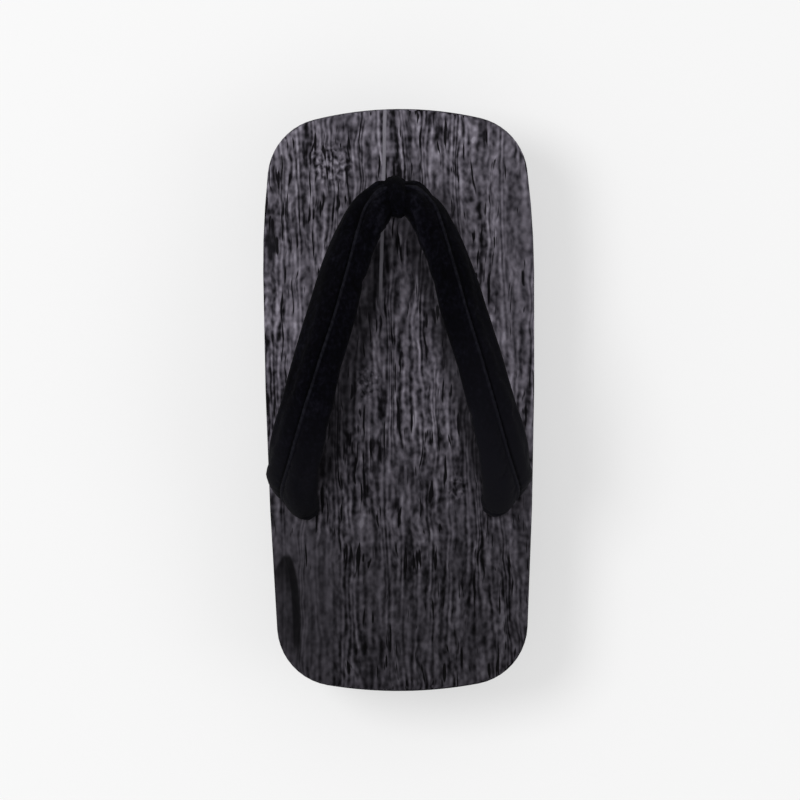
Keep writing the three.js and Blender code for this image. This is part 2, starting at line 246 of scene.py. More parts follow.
class Nodes:
    """A material's node tree, with short calls for the nodes that it uses."""

    def __init__(self, name):
        self.material = bpy.data.materials.new(name)
        self.material.use_nodes = True
        self.tree = self.material.node_tree
        self.shader = self.tree.nodes["Principled BSDF"]

    def add(self, kind, settings=None, **inputs):
        made = self.tree.nodes.new("ShaderNode" + kind)
        for key, value in (settings or {}).items():
            setattr(made, key, value)
        for key, value in inputs.items():
            self.put(made.inputs[key.replace("_", " ")], value)
        return made

    def put(self, socket, value):
        if isinstance(value, bpy.types.NodeSocket):
            self.tree.links.new(value, socket)
        else:
            socket.default_value = value

    def math(self, operation, *values):
        made = self.add("Math", {"operation": operation})
        for socket, value in zip(made.inputs, values):
            self.put(socket, value)
        return made.outputs[0]

    def product(self, first, *others):
        """All the values multiplied together."""
        for other in others:
            first = self.math("MULTIPLY", first, other)
        return first

    def noise(self, place, across, along, upright, detail, distortion=0.0):
        """Noise whose features have these sizes, in millimetres, along X, Y and Z."""
        scale = [1 / (size * MM) for size in (across, along, upright)]
        scaled = self.add("Mapping", {"vector_type": "POINT"}, Vector=place, Scale=scale)
        made = self.add("TexNoise", Vector=scaled.outputs[0], Scale=1.0, Detail=detail, Distortion=distortion)
        return made.outputs["Fac"]

    def ramp(self, value, *stops):
        """A smooth colour ramp, or a grey one where each stop's colour is one number."""
        made = self.add("ValToRGB", Fac=value)
        elements = made.color_ramp.elements
        while len(elements) < len(stops):
            elements.new(1.0)
        for element, (position, colour) in zip(elements, stops):
            element.position = position
            shade = colour if isinstance(colour, tuple) else (colour, colour, colour)
            element.color = (*shade, 1.0)
        return made.outputs["Color"]

    def range(self, value, low, high, to_low=0.0, to_high=1.0, smooth=True):
        """to_low up to low, to_high from high on, and a rise or a fall between them."""
        kind = "SMOOTHSTEP" if smooth else "LINEAR"
        made = self.add("MapRange", {"interpolation_type": kind}, Value=value)
        for key, number in (("From Min", low), ("From Max", high), ("To Min", to_low), ("To Max", to_high)):
            made.inputs[key].default_value = number
        return made.outputs[0]

    def within(self, value, starts, full_from, full_to, ends):
        """1 between full_from and full_to, fading to 0 where it starts and ends."""
        return self.product(self.range(value, starts, full_from), self.range(value, full_to, ends, 1.0, 0.0))

    def mix(self, share, first, second, blend="MIX"):
        """The two colours mixed. The node's colour sockets are the seventh and the eighth."""
        made = self.add("Mix", {"data_type": "RGBA", "blend_type": blend})
        for index, value in ((0, share), (6, first), (7, second)):
            if index and isinstance(value, tuple):
                value = (*value, 1.0)
            self.put(made.inputs[index], value)
        return made.outputs[2]

    def bump(self, height, strength, distance):
        return self.add("Bump", Height=height, Strength=strength, Distance=distance).outputs[0]

    def finish(self, **inputs):
        for key, value in inputs.items():
            self.put(self.shader.inputs[key.replace("_", " ")], value)
        return self.material


class BurntWood(Nodes):
    """Wood burnt and brushed: black slits and pale streaks along the grain, darkest at the heel, with painted
    light in the middle between the bands.
    """

    def __init__(self):
        super().__init__("burnt_wood")
        self.place = self.add("TexCoord").outputs["Object"]
        self.x, self.y, self.z = self.add("SeparateXYZ", Vector=self.place).outputs
        self.on_top = self.range(self.z, TOP - 2.4 * MM, TOP - 1.2 * MM)
        sway = self.math("SUBTRACT", self.noise(self.place, 14, 40, 14, detail=1.0), 0.5)
        wobble = self.math("SUBTRACT", self.noise(self.place, 5, 9, 5, detail=0.0), 0.5)
        self.shift = self.math("MULTIPLY_ADD", wobble, GRAIN_WOBBLE, self.math("MULTIPLY", sway, GRAIN_SWAY))
        self.bent_x = self.math("ADD", self.x, self.shift)
        self.bent_z = self.math("ADD", self.z, self.shift)
        self.bent = self.add("CombineXYZ", X=self.bent_x, Y=self.y, Z=self.bent_z).outputs[0]
        self.specks = self.noise(self.bent, 1.7, 2.7, 1.7, detail=0.6)
        self.drift = self.noise(self.bent, 6, 80, 6, detail=0.0)

    def far(self, middle_x, middle_y, half_x, half_y):
        """How far a place is from the middle of an oval in millimetres: 1 on its edge."""
        across = self.math("DIVIDE", self.math("SUBTRACT", self.x, middle_x * MM), half_x * MM)
        along = self.math("DIVIDE", self.math("SUBTRACT", self.y, middle_y * MM), half_y * MM)
        squares = self.math("MULTIPLY_ADD", across, across, self.math("MULTIPLY", along, along))
        return self.math("SQRT", squares)

    def long_grain(self):
        """The tone of streaks, fibres, specks and faint rings, dappled where the grain curls."""
        streaks = self.noise(self.bent, 1.8, 60, 1.8, detail=0.0)
        fibres = self.noise(self.bent, 1.8, 10, 1.8, detail=0.0)
        turns = self.math("MULTIPLY_ADD", self.drift, 5.0, self.math("DIVIDE", self.bent_x, RING_WIDTH))
        rings = self.math("SINE", self.math("MULTIPLY", turns, 2 * pi))
        tone = self.math("MULTIPLY_ADD", streaks, 0.42, self.math("MULTIPLY", fibres, 0.42))
        tone = self.math("MULTIPLY_ADD", self.specks, 0.62, tone)
        tone = self.math("MULTIPLY_ADD", rings, 0.1, tone)
        curls = 0.0
        for knot in WOOD_KNOTS:
            curls = self.math("MAXIMUM", curls, self.range(self.far(*knot), 0.4, 1.1, 1.0, 0.0))
        dapple = self.noise(self.place, 1.5, 2, 1.5, detail=0.6, distortion=0.4)
        dapple = self.product(self.math("SUBTRACT", dapple, 0.52), curls)
        return self.math("MULTIPLY_ADD", dapple, 0.95, tone)

    def end_grain(self, tone):
        """The tone with year rings where the wood is cut across, at the toe, the heel and the teeth."""
        facing = self.add("SeparateXYZ", Vector=self.add("NewGeometry").outputs["Normal"]).outputs["Y"]
        cut = self.range(self.math("ABSOLUTE", facing), 0.6, 0.85)
        deep = self.math("ADD", self.bent_z, PITH_DEPTH)
        radius = self.math("MULTIPLY_ADD", self.x, self.x, self.math("MULTIPLY", deep, deep))
        turns = self.math("MULTIPLY", self.math("SQRT", radius), 2 * pi / YEAR_WIDTH)
        years = self.math("SINE", self.math("MULTIPLY_ADD", self.drift, 9.0, turns))
        years = self.math("MULTIPLY_ADD", years, 0.08, self.math("MULTIPLY_ADD", self.specks, 0.35, 0.48))
        return self.math("MULTIPLY_ADD", self.math("SUBTRACT", years, tone), cut, tone)

    def liveliness(self):
        """How strongly the grain stands out, in patches: least at the heel's left and the toe's right."""
        heel_left = self.range(self.far(-46, -86, 22, 40), 0.55, 1.35)
        toe_right = self.range(self.far(53, 62, 14, 42), 0.5, 1.3, 0.35, 1.0)
        off_top = self.math("MULTIPLY_ADD", self.on_top, 0.6, 0.4)
        patches = self.range(self.noise(self.place, 17, 55, 17, detail=1.0), 0.38, 0.6, 0.5, 1.0)
        return self.product(heel_left, toe_right, off_top, patches)

    def scorches(self):
        """A pointed, scorched hollow at the heel's left edge, and a stain on the toe's left edge."""
        down = self.math("DIVIDE", self.math("ADD", self.y, 65.5 * MM), -46 * MM)  # 0 at its tip
        bow = self.math("EXPONENT", self.math("MULTIPLY", down, -5))
        beside = self.math("SUBTRACT", self.x, self.math("MULTIPLY_ADD", bow, -4.8 * MM, -45.2 * MM))
        past_tip = self.math("ADD", self.math("MULTIPLY_ADD", down, 28 * MM, self.x), 50.4 * MM)
        stroke = self.range(self.math("ABSOLUTE", beside), 1.1 * MM, 2.5 * MM, 0.96, 0.0)
        inner = self.product(self.range(beside, -1 * MM, 0, 1.0, 0.0), self.range(down, 0.1, 0.4, 0.88, 0.4))
        hollow = self.product(
            self.math("MAXIMUM", stroke, inner),
            self.within(down, -0.03, 0.04, 0.8, 1.05),
            self.range(past_tip, -0.9 * MM, 0.9 * MM),
        )
        stain = self.range(self.far(-54.5, 68, 2.2, 8), 0.5, 1.3, 0.8, 0.0)
        return self.product(self.math("MAXIMUM", hollow, stain), self.on_top)

    def pale_streak(self):
        """A thin streak, a little aslant, from the toe to behind the toe loop."""
        slant = self.math("MULTIPLY_ADD", self.y, -0.031, self.math("ADD", self.x, 9.1 * MM))
        aside = self.math("ABSOLUTE", self.math("MULTIPLY_ADD", self.shift, 0.2, slant))
        line = self.range(aside, 0.4 * MM, 1.0 * MM, 1.0, 0.0)
        return self.product(line, self.on_top, self.range(self.y, 36 * MM, 54 * MM), 0.85)

    def painted_band_shade(self):
        """Painted shade on the wood under the bands and inside them, widest inside the left one."""
        band_line = self.math("MULTIPLY_ADD", self.y, -0.272, 38.4 * MM)
        out = self.math("MAXIMUM", self.x, self.math("SUBTRACT", 2.5 * MM, self.x))
        beside = self.within(self.math("SUBTRACT", out, band_line), -21 * MM, -13 * MM, 2 * MM, 9 * MM)
        along = self.within(self.y, -46 * MM, -26 * MM, 62 * MM, 77 * MM)
        return self.product(beside, along, self.on_top, 0.8)

    def made(self):
        """The material, with its layers of colour from the grain up."""
        lively = self.liveliness()
        tone = self.end_grain(self.long_grain())
        spread = self.math("MULTIPLY_ADD", lively, 0.57, 0.48)
        tone = self.math("MULTIPLY_ADD", self.math("SUBTRACT", tone, MIDDLE_TONE), spread, MIDDLE_TONE)
        slits = self.noise(self.bent, 1.5, 15, 1.5, detail=1.0, distortion=0.2)
        slits = self.math("MULTIPLY_ADD", lively, -0.12, self.math("ADD", slits, 0.12))
        solid = self.range(slits, 0.34, 0.42)
        tone_along_and_painted_light = self.ramp(self.range(self.y, TONE_ALONG_FROM, TONE_ALONG_TO, smooth=False), *TONE_ALONG_AND_PAINTED_LIGHT)
        colour = self.ramp(self.range(tone, 0.42, 1.03, smooth=False), *WOOD_SHADES)
        colour = self.mix(solid, SLIT_BLACK, colour)
        colour = self.mix(self.scorches(), colour, SCORCHED)
        # Darker towards the heel, with painted light lifting the middle where the bands shade the wood.
        colour = self.mix(1.0, colour, tone_along_and_painted_light, "MULTIPLY")
        # Painted shade on the wood under the bands and beside their inner edges.
        colour = self.mix(self.painted_band_shade(), colour, BAND_SHADE_COLOUR)
        colour = self.mix(self.pale_streak(), colour, PALE_WOOD)
        return self.finish(
            Base_Color=colour,
            Roughness=self.range(tone, 0.5, 0.95, 0.85, 0.62),
            Specular_IOR_Level=0.05,
            Normal=self.bump(self.math("MULTIPLY_ADD", solid, 0.4, tone), 0.6, 0.4 * MM),
        )


def velvet(name, seamed):
    """Black velvet with a short pile. Its UV map starts with the distance from the seam, in metres."""
    n = Nodes(name)
    coordinates = n.add("TexCoord").outputs
    place = coordinates["Object"]
    painted_fold_shading = n.add("Attribute", {"attribute_name": "painted_fold_shading"}).outputs["Fac"]
    patches = n.noise(place, 9, 9, 9, detail=2.0)
    pile = n.noise(place, 0.4, 0.4, 0.4, detail=1.0)
    strokes = n.noise(place, 1.5, 2.2, 1.5, detail=1.0)
    tone = n.math("MULTIPLY_ADD", patches, 0.6, n.math("MULTIPLY", pile, 0.35))
    tone = n.math("ADD", strokes, tone)
    # Painted fold shading: lighter on the crests of the folds, darker in the pinch.
    tone = n.math("MULTIPLY_ADD", painted_fold_shading, 0.5, tone)
    colour = n.ramp(n.range(tone, 0.6, 1.5, smooth=False), *VELVET_SHADES)
    if seamed:
        x, y = n.add("SeparateXYZ", Vector=place).outputs[:2]
        # Painted light: the right band grows lighter towards its rear as if lit from the right, and both
        # bands grow lighter towards the rear holes.
        painted_light_right = n.product(n.range(x, 10 * MM, 35 * MM), n.range(y, 60 * MM, 0, 0.0, 0.45))
        paler_rear_and_painted_light = n.math("ADD", painted_light_right, n.range(y, 10 * MM, -35 * MM, 0.0, 0.5))
        colour = n.mix(paler_rear_and_painted_light, colour, PALER_VELVET)
        # The seam: painted shade in the furrow on its outer side, and a ridge made lighter, partly for its
        # pile and partly as a painted highlight.
        from_seam = n.add("SeparateXYZ", Vector=coordinates["UV"]).outputs["X"]
        furrow_painted_shade = n.within(from_seam, 0.6 * MM, 1.1 * MM, 1.5 * MM, 2.6 * MM)
        colour = n.mix(n.product(furrow_painted_shade, 0.6), colour, SEAM_SHADE)
        ridge = n.range(n.math("ABSOLUTE", from_seam), 0.3 * MM, 1.1 * MM, 1.0, 0.0)
        colour = n.mix(n.product(ridge, n.range(strokes, 0.3, 0.7, 0.35, 0.85)), colour, SEAM_RIDGE_PILE_AND_HIGHLIGHT)
    return n.finish(
        Base_Color=colour,
        Roughness=0.95,
        Specular_IOR_Level=0.03,
        Sheen_Weight=0.012,
        Sheen_Roughness=0.45,
        Normal=n.bump(n.math("MULTIPLY_ADD", pile, 0.6, strokes), 0.5, 0.25 * MM),
    )


def twisted_cotton():
    """Black cotton cord. Its UV map says how far a place is round the cord and along it, in metres."""
    n = Nodes("twisted_cotton")
    coordinates = n.add("TexCoord").outputs
    turn, along = n.add("SeparateXYZ", Vector=coordinates["UV"]).outputs[:2]
    lay = n.math("MULTIPLY_ADD", along, 2 * pi / STRAND_LAY, n.math("MULTIPLY", turn, 2 * pi / STRAND_TURN))
    fuzz = n.noise(coordinates["Object"], 0.3, 0.3, 0.3, detail=2.0)
    tone = n.math("MULTIPLY_ADD", n.math("SINE", lay), 0.2, fuzz)
    return n.finish(
        Base_Color=n.ramp(n.range(tone, 0.2, 0.9), *COTTON_SHADES),
        Roughness=0.9,
        Specular_IOR_Level=0.15,
        Normal=n.bump(tone, 0.6, 0.15 * MM),
    )


# The board


def grain(x, y, stretch, seed):
    """Noise drawn out along the board, from about -1 to 1."""
    return noise.noise(Vector((x / stretch[0], y / stretch[1], seed)))


def brushed_depth(x, y):
    """How far brushing has worn the soft wood below the hard ridges, from 0 to 1."""
    sway = 2.4 * MM * grain(x, y, (22 * MM, 60 * MM), 3.1)
    wide = grain(x + sway, y, (2.6 * MM, 75 * MM), 11.7)
    fine = grain(x + sway, y, (1.3 * MM, 24 * MM), 27.3)
    pits = grain(x + sway, y, (1.5 * MM, 9 * MM), 41.9)
    return min(1, max(0, 0.4 - 0.45 * wide - 0.35 * fine + 0.6 * ease(pits, 0.3, 0.55)))


def make_board(material):
    """The CAD block with its top cut into fine cells and brushed."""
    bm = bmesh.new()
    bm.from_mesh(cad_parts["board_with_teeth"].data)
    bmesh.ops.remove_doubles(bm, verts=bm.verts, dist=1e-6)
    bmesh.ops.dissolve_limit(bm, angle_limit=radians(0.4), verts=bm.verts, edges=bm.edges)
    top = [face for face in bm.faces if face.normal.z > 0.999 and face.calc_center_median().z > TOP - GAP]
    pieces = top + list({edge for face in top for edge in face.edges})
    pieces += list({vertex for face in top for vertex in face.verts})
    widthways = (Vector((1, 0, 0)), BOARD_LOW.x, BOARD_HIGH.x, CELL_ACROSS)
    lengthways = (Vector((0, 1, 0)), HEEL, TOE, CELL_ALONG)
    for across, low, high, step in (widthways, lengthways):
        count = round((high - low) / step)
        for i in range(1, count):
            place = across * (low + (high - low) * i / count)
            cut = bmesh.ops.bisect_plane(bm, geom=pieces, plane_co=place, plane_no=across, dist=1e-7)
            pieces = cut["geom"]
    flat = {v for v in bm.verts if abs(v.co.z - TOP) < 1e-5}
    rim = [v.co.xy for v in flat if any(face.normal.z < 0.999 for face in v.link_faces)]
    edge_of = KDTree(len(rim))
    for i, place in enumerate(rim):
        edge_of.insert((*place, 0), i)
    edge_of.balance()
    for vertex in flat:
        x, y = vertex.co.xy
        inside = edge_of.find((x, y, 0))[2]
        vertex.co.z -= GROOVE_DEPTH * brushed_depth(x, y) * ease(inside, 0, RIM)
    bmesh.ops.recalc_face_normals(bm, faces=bm.faces)
    board = finished(bm, "brushed_board", material)
    board.data.set_sharp_from_angle(angle=radians(38))
    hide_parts("board_with_teeth")
    return board


# Swept pieces


def sweep(rings, around, along, closed=False):
    """A skin through rings of points. Its UV map holds the two distances, in metres, of each point."""
    bm = bmesh.new()
    size = len(rings[0])
    made = [bmesh.ops.create_circle(bm, segments=size, radius=1)["verts"]]
    edges = list(bm.edges)
    while len(made) < len(rings):
        fresh = bmesh.ops.extrude_edge_only(bm, edges=edges)["geom"]
        verts = {part for part in fresh if isinstance(part, bmesh.types.BMVert)}
        edges = [part for part in fresh if isinstance(part, bmesh.types.BMEdge) and set(part.verts) <= verts]
        row = []
        for vertex in made[-1]:
            row.append(next(e.other_vert(vertex) for e in vertex.link_edges if e.other_vert(vertex) in verts))
        made.append(row)
    for row, points in zip(made, rings):
        for vertex, point in zip(row, points):
            vertex.co = point
    if closed:
        bmesh.ops.bridge_loops(bm, edges=[e for e in bm.edges if e.is_boundary])
    where = {v: (i, k) for i, row in enumerate(made) for k, v in enumerate(row)}
    layer = bm.loops.layers.uv.new("lie")
    for face in bm.faces:
        rows = [where[v][0] for v in face.verts]
        columns = [where[v][1] for v in face.verts]
        wraps = 0 in columns and size - 1 in columns
        turns = 0 in rows and len(rings) - 1 in rows
        for loop in face.loops:
            i, k = where[loop.vert]
            i = len(rings) if turns and i == 0 else i
            k = size if wraps and k == 0 else k
            loop[layer].uv = (around(i % len(rings), k), along(i))
    if not closed:
        for row in (made[0], made[-1]):
            bmesh.ops.contextual_create(bm, geom=row)
    bmesh.ops.recalc_face_normals(bm, faces=bm.faces)
    return bm


def smooth(rows, t):
    """The rows' values at t, from 0 to 1, on a smooth curve through them all."""
    spans = len(rows) - 1
    i = min(int(t * spans), spans - 1)
    f = t * spans - i
    start, end = rows[i], rows[i + 1]
    before = rows[i - 1] if i else [2 * a - b for a, b in zip(start, end)]
    after = rows[i + 2] if i + 2 <= spans else [2 * b - a for a, b in zip(start, end)]
    return [
        q + 0.5 * f * (r - p + f * (2 * p - 5 * q + 4 * r - s + f * (3 * (q - r) + s - p)))
        for p, q, r, s in zip(before, start, end, after)
    ]


def band_row(row, side):
    """One row of the band as plain numbers: its centre, half sizes, seam and face direction."""
    lean, bearing = radians(row["lean"]), radians(row["bearing"])
    face = (side * sin(lean) * cos(bearing), sin(lean) * sin(bearing), cos(lean))
    wider = (RIGHT_WIDER if side > 0 else LEFT_WIDER) * ease(row["x"], 0, 12) / 2
    centre = (side * (row["x"] + wider) * MM, row["y"] * MM, TOP + row["up"] * MM)
    seam = row["seam"]
    if side < 0:
        seam -= LEFT_SEAM_DRIFT * ease(row["y"], -30, 70)
    return (*centre, (row["width"] / 2 + wider) * MM, row["thick"] * MM / 2, seam, *face)


class Band:
    """The band's frame at t, from 0 at the left rear hole to 1 at the right one."""

    rows = [band_row(row, -1) for row in reversed(BAND_ROWS[1:])] + [band_row(row, 1) for row in BAND_ROWS]

    def __init__(self, t):
        numbers = smooth(self.rows, t)
        self.centre = Vector(numbers[:3])
        self.half_width, self.half_thick, self.seam = numbers[3:6]
        ahead = Vector(smooth(self.rows, min(1, t + 1e-4))[:3])
        behind = Vector(smooth(self.rows, max(0, t - 1e-4))[:3])
        self.along = (ahead - behind).normalized()
        face = Vector(numbers[6:9])
        self.off = (face - self.along * face.dot(self.along)).normalized()
        self.across = self.off.cross(self.along)
        if self.across.x * (1 if t > 0.5 else -1) < 0 or abs(t - 0.5) < 1e-6 and self.across.y < 0:
            self.across.negate()

    def at(self, across, off):
        return self.centre + self.across * across + self.off * off

    def crown(self, across, slack=0.0):
        """How far the padded face stands off the middle at a place across it."""
        share = min(1, abs(across) / (self.half_width - slack))
        return (self.half_thick - slack) * (1 - share**BAND_SHAPE) ** (1 / BAND_SHAPE)


def band_section(band):
    """One ring of the band as pairs of across and off, from the outer edge over the face and back."""
    middle = band.seam * band.half_width
    reach = band.half_width - SLACK

    def spread(start, end):
        turns = [pi / 2 * (i + 1) / (SIDE_POINTS + 1) for i in range(SIDE_POINTS)]
        return [start + (end - start) * sin(turn) for turn in turns]

    side = FURROW_HALF + 1 * MM
    face = list(reversed(spread(middle + side, reach)))
    face += [middle - from_seam * MM for from_seam in NEAR_SEAM]
    face += spread(middle - side, -reach)
    pairs = [(reach, 0.0)]
    for across in face:
        away = abs(across - middle)
        furrow = FURROW * (1 - ease(away, SEAM_HALF, FURROW_HALF))
        rise = SEAM_RISE * (1 - ease(away, SEAM_CREST, SEAM_FOOT))
        if away < SEAM_HALF:
            rise += SEAM_LIFT * furrow
        pairs.append((across, band.crown(across, SLACK) - furrow + rise))
    pairs.append((-reach, 0.0))
    for i in range(BACK_POINTS):
        across = -reach * cos(pi * (i + 1) / (BACK_POINTS + 1))
        pairs.append((across, -band.crown(across, SLACK)))
    return pairs


def swell(bm):
    """Stuffing: a cloth simulation under pressure, held at the toe loop, along the seam and at the ends."""
    for vertex in bm.verts:
        vertex.co *= SIM_SCALE
    mesh = bpy.data.meshes.new("stuffing")
    bm.to_mesh(mesh)
    skin = bpy.data.objects.new("stuffing", mesh)
    bpy.context.scene.collection.objects.link(skin)
    held = skin.vertex_groups.new(name="held")
    layer = bm.verts.layers.float["held"]
    for vertex in bm.verts:
        held.add([vertex.index], vertex[layer], "REPLACE")
    cloth = skin.modifiers.new("Cloth", "CLOTH")
    for key, value in CLOTH.items():
        setattr(cloth.settings, key, value)
    cloth.settings.effector_weights.gravity = 0
    cloth.collision_settings.use_collision = False
    scene = bpy.context.scene
    for step in range(1, SIM_FRAMES + 1):
        scene.frame_set(step)
    moved = skin.evaluated_get(bpy.context.evaluated_depsgraph_get()).data
    for vertex, after in zip(bm.verts, moved.vertices):
        shift = (after.co - vertex.co) / SIM_SCALE
        if shift.length > MOST_SWELL:
            shift.length = MOST_SWELL
        vertex.co = vertex.co / SIM_SCALE + shift
    scene.frame_set(1)
    bpy.data.objects.remove(skin)
    bpy.data.meshes.remove(mesh)


def gather(bm):
    """The loop's pinch with a fold on each side of it, creases at both ends, and puckers along the seam, with
    painted fold shading stored for the velvet: lighter on the folds, darker in the pinch.
    """
    bm.normal_update()
    layer = bm.loops.layers.uv["lie"]
    painted_fold_shading = bm.verts.layers.float.new("painted_fold_shading")
    moves = {}
    for vertex in bm.verts:
        u, v = vertex.link_loops[0][layer].uv
        x, _, z = vertex.co / MM
        front = 1 - ease(abs(x), 4, 18)
        rear = 1 - ease(vertex.co.z - TOP, 1 * MM, 11 * MM)
        pinch = PINCH_FOLD * exp(-(((abs(x) - 8.5) / 3.4) ** 2)) - PINCH_DIP * exp(-((x / 4.4) ** 2))
        folds = noise.noise(Vector((u / (1.9 * MM), x / 13, 5.0)))
        creases = noise.noise(Vector((u / (2.6 * MM), z / 14, 9.0)))
        lumps = noise.noise(vertex.co / (11 * MM))
        beside_seam = ease(abs(u), 0.3 * MM, 0.9 * MM) * (1 - ease(abs(u), 0.9 * MM, 4 * MM))
        puckers = beside_seam * cos(2 * pi * v / PUCKER_STEP)
        tuck = FOOT_TUCK * (1 - ease(vertex.co.z - TOP, 0, 3.6 * MM)) ** 2
        rise = pinch + FOLDS * front * folds + CREASES * rear * creases + LUMPS * lumps + PUCKERS * puckers
        moves[vertex] = rise * MM - tuck
        # Painted fold shading for the velvet: lighter on the folds' crests, darker in the pinch.
        vertex[painted_fold_shading] = front * (folds + 0.6 * pinch)
    for vertex, move in moves.items():
        vertex.co += vertex.normal * move


def make_bands(material):
    """Both padded bands, one piece through the toe loop, trimmed where they meet the board."""
    stations = [Band(i / BAND_STATIONS) for i in range(BAND_STATIONS + 1)]
    sections = [band_section(band) for band in stations]
    rings = [[band.at(*pair) for pair in section] for band, section in zip(stations, sections)]
    travelled = lengths([band.centre for band in stations])
    seam_column = 1 + SIDE_POINTS + len(NEAR_SEAM) // 2
    size = len(sections[0])

    def around(i, k):
        """The distance from the seam over the face, positive towards the outer edge."""
        ring = rings[i]
        steps = range(seam_column, k) if k > seam_column else range(k, seam_column)
        far = sum((ring[(j + 1) % size] - ring[j % size]).length for j in steps)
        return -far if k > seam_column else far

    table = [[around(i, k) for k in range(size + 1)] for i in range(len(rings))]
    bm = sweep(rings, lambda i, k: table[i][k], lambda i: travelled[i])
    held = bm.verts.layers.float.new("held")
    for vertex in bm.verts:
        from_seam = min(abs(loop[bm.loops.layers.uv["lie"]].uv.x) for loop in vertex.link_loops)
        pinched = 1 - ease(abs(vertex.co.x), 5 * MM, 9 * MM)
        ended = 1 - ease(vertex.co.z - TOP, 0, 4 * MM)
        stitched = 1 - ease(from_seam, 0.9 * MM, 1.6 * MM)
        vertex[held] = max(pinched, ended, stitched)
    swell(bm)
    gather(bm)
    whole = bm.verts[:] + bm.edges[:] + bm.faces[:]
    foot = Vector((0, 0, TOP + GAP))
    cut = bmesh.ops.bisect_plane(bm, geom=whole, plane_co=foot, plane_no=(0, 0, 1), clear_inner=True)
    bmesh.ops.holes_fill(bm, edges=[part for part in cut["geom_cut"] if isinstance(part, bmesh.types.BMEdge)])
    bmesh.ops.triangulate(bm, faces=[face for face in bm.faces if len(face.verts) > 4])
    bmesh.ops.recalc_face_normals(bm, faces=bm.faces)
    bands = finished(bm, "velvet_bands", material)
    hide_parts("thong_bands")
    return bands


def path_frames(points, closed=False):
    """Points with the direction of the path at each."""
    count = len(points)
    frames = []
    for i, point in enumerate(points):
        ahead = points[(i + 1) % count] if closed or i + 1 < count else point
        behind = points[i - 1] if closed or i else point
        frames.append((point, (ahead - behind).normalized()))
    return frames


def lengths(points):
    total = [0.0]
    for here, after in zip(points, points[1:]):
        total.append(total[-1] + (after - here).length)
    return total


def make_toe_loop(material):
    """A strip of velvet round the gathered bands, with both ends side by side down the front hole."""
    front = Band(0.5)
    stand = LOOP_HALF_THICK - LOOP_SINK
    wide, thick = front.half_width + stand, front.half_thick + stand
    turned = []
    for degrees in range(-120, 121, 12):
        angle = radians(degrees)
        ray = Vector((0, sin(angle), cos(angle)))
        reach = 1 / hypot(ray.dot(front.across) / wide, ray.dot(front.off) / thick)
        turned.append(front.centre + ray * reach)
    hole = FRONT_HOLE.y
    rear_strand = [Vector((0, hole - LOOP_STRAND, TOP + up * MM)) for up in LOOP_ENDS]
    front_strand = [Vector((0, hole + LOOP_STRAND, TOP + up * MM)) for up in reversed(LOOP_ENDS)]
    rows = [tuple(point) for point in rear_strand + turned + front_strand]
    points = [Vector(smooth(rows, i / LOOP_STEPS)) for i in range(LOOP_STEPS + 1)]
    far = lengths(points)
    rings = []
    for way, (point, along) in zip(far, path_frames(points)):
        out = Vector((1, 0, 0)).cross(along).normalized()
        inside = 1 - ease(point.z - TOP, 0, LOOP_NECK_HEIGHT)
        drawn_in = LOOP_DRAWN_IN * max(0, out.z) ** 2
        half_width = LOOP_HALF_WIDTH * (1 - (1 - LOOP_NECK) * inside) * (1 - drawn_in)
        lean = LOOP_LEAN * ease(point.y, hole, hole + 10 * MM) * (1 - inside)
        middle = point - Vector((lean, 0, 0))
        ring = []
        for k in range(LOOP_POINTS):
            angle = 2 * pi * k / LOOP_POINTS
            side, lift = cos(angle), sin(angle)
            across = half_width * abs(side) ** 0.9 * (1 if side > 0 else -1)
            pleat = noise.noise(Vector((across / (1.3 * MM), way / (13 * MM), 2.0 if lift > 0 else 7.0)))
            height = LOOP_HALF_THICK * abs(lift) ** 0.85 * (1 if lift > 0 else -1)
            height += LOOP_PLEATS * pleat * lift * (1 - 0.7 * inside)
            height -= LOOP_BOW * (across / half_width) ** 2 * (1 - inside)
            ring.append(middle + Vector((1, 0, 0)) * across + out * height)
        rings.append(ring)
    bm = sweep(rings, lambda i, k: k * LOOP_SPACING, lambda i: far[i])
    loop = finished(bm, "velvet_toe_loop", material)
    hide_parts("toe_loop")
    return loop


def rope(points, radius, pitch, closed=False, lobes=3, depth=0.16, size=24):
    """A cord laid from strands that wind round each other, as a bmesh."""
    far = lengths(points)
    total = far[-1] + ((points[0] - points[-1]).length if closed else 0)
    turns = max(1, round(total / pitch))
    frames = path_frames(points, closed)
    side = Vector((0, 0, 1))
    normals = []
    for point, along in frames:
        side = (side - along * side.dot(along)).normalized()
        normals.append(side)
    drift = 0.0
    if closed:
        along = frames[0][1]
        last = (normals[-1] - along * normals[-1].dot(along)).normalized()
        drift = atan2(last.cross(normals[0]).dot(along), last.dot(normals[0]))
    rings = []
    for i, ((point, along), normal) in enumerate(zip(frames, normals)):
        other = along.cross(normal)
        spin = (2 * pi / lobes * turns * lobes + drift) * far[i] / total
        ring = []
        for k in range(size):
            angle = 2 * pi * k / size
            thick = radius * (1 - depth + depth * abs(cos(lobes * angle / 2)))
            ring.append(point + (normal * cos(angle + spin) + other * sin(angle + spin)) * thick)
        rings.append(ring)
    return sweep(rings, lambda i, k: k * CORD_SPACING, lambda i: far[i] if i < len(far) else total, closed)


def underside_at(y):
    """The underside's height, which rises ahead of the front tooth's root."""
    return UNDERSIDE + TOE_RISE * max(0, y - RISE_FROM) / (RISE_TO - RISE_FROM)


